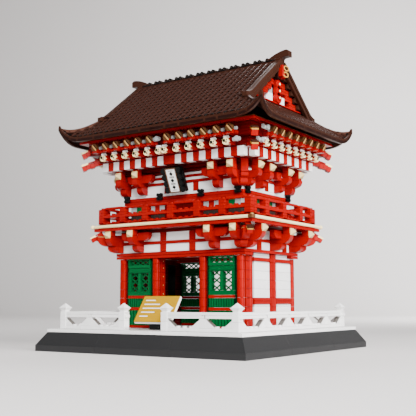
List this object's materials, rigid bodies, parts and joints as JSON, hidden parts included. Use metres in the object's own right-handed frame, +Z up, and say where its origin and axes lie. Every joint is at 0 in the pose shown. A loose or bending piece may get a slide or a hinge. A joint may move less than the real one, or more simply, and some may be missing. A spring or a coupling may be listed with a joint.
{
  "type": "toy brick gate pagoda",
  "caption": "Free-standing toy brick model of a two-storey gate pagoda: an open hall on columns, a railed balcony, and a hip-and-gable roof, on a fenced plinth.",
  "frame": {"origin": "centre of the plinth's underside, on the surface that it stands on", "axes": "+X to the right along the front, +Y from the front to the back, +Z up"},
  "size_m": [0.2764, 0.272, 0.3318],
  "materials": {
    "plinth_grey": "satin moulded plastic, fine scratches",
    "white_brick": "glossy moulded plastic",
    "red_brick": "glossy moulded plastic",
    "dark_red_brick": "glossy moulded plastic",
    "green_brick": "glossy moulded plastic",
    "cream_rod": "glossy moulded plastic",
    "brown_tile": "glossy moulded plastic",
    "dark_brown_brick": "glossy moulded plastic",
    "gold_board": "matt printed plastic",
    "black_brick": "glossy moulded plastic"
  },
  "bodies": {
    "root": {"balcony_deck": "red_brick", "balcony_rods": "cream_rod", "column_back_1": "red_brick", "column_back_2": "red_brick", "column_back_3": "red_brick", "column_back_4": "red_brick", "column_front_1": "red_brick", "column_front_2": "red_brick", "column_front_3": "red_brick", "column_front_4": "red_brick", "eave_board": "red_brick", "fence_back_left": "white_brick", "fence_back_right": "white_brick", "fence_front_left": "white_brick", "fence_front_right": "white_brick", "fence_left": "white_brick", "fence_right": "white_brick", "floor": "white_brick", "frieze_wall": "white_brick", "gable_left": "dark_brown_brick", "gable_right": "dark_brown_brick", "lintel": "red_brick", "lower_brackets_back": "red_brick", "lower_brackets_front": "red_brick", "lower_brackets_left": "red_brick", "lower_brackets_right": "red_brick", "lower_rafters": "red_brick", "name_board": "black_brick", "plinth": "plinth_grey", "railing_back": "red_brick", "railing_front": "red_brick", "railing_left": "red_brick", "railing_right": "red_brick", "ridge": "brown_tile", "roof_skirt_left": "brown_tile", "roof_skirt_right": "brown_tile", "roof_slope_back": "brown_tile", "roof_slope_front": "brown_tile", "screen_back_left": "green_brick", "screen_back_right": "green_brick", "screen_front_left": "green_brick", "screen_front_right": "green_brick", "side_wall_left": "white_brick", "side_wall_right": "white_brick", "sign_board": "gold_board", "striped_cornice": "white_brick", "upper_base_wall": "dark_red_brick", "upper_brackets_back": "red_brick", "upper_brackets_front": "red_brick", "upper_brackets_left": "red_brick", "upper_brackets_right": "red_brick", "upper_rafters": "red_brick", "upper_wall": "white_brick"}
  },
  "joints": []
}
